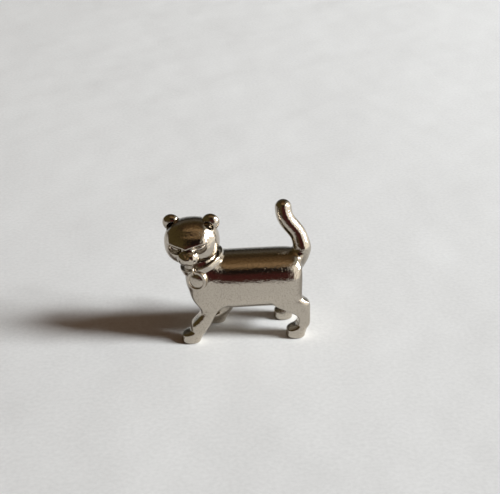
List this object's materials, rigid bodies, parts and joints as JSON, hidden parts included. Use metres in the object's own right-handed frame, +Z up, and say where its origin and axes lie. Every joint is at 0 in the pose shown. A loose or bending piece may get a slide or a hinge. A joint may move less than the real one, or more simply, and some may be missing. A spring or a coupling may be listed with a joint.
{
  "type": "game token",
  "caption": "Bright metal cat in mid-stride with its head turned, its tail raised in an S-curve and a round tag on its collar; a board game playing piece that stands on its paw soles.",
  "frame": {"origin": "middle of the bounding box at table level, on the plane of the four soles", "axes": "the cat faces -X, its left flank faces -Y, +Z up"},
  "size_m": [0.0258, 0.0106, 0.0238],
  "materials": {
    "nickel_plate": "zinc die casting, tumble-polished and bright nickel plated"
  },
  "bodies": {
    "root": {"torso": "nickel_plate", "neck": "nickel_plate", "head": "nickel_plate", "muzzle": "nickel_plate", "left_eye": "nickel_plate", "right_eye": "nickel_plate", "left_ear": "nickel_plate", "right_ear": "nickel_plate", "collar": "nickel_plate", "tag_link": "nickel_plate", "tag": "nickel_plate", "tail": "nickel_plate", "front_left_leg": "nickel_plate", "front_right_leg": "nickel_plate", "rear_left_leg": "nickel_plate", "rear_right_leg": "nickel_plate"}
  },
  "joints": []
}
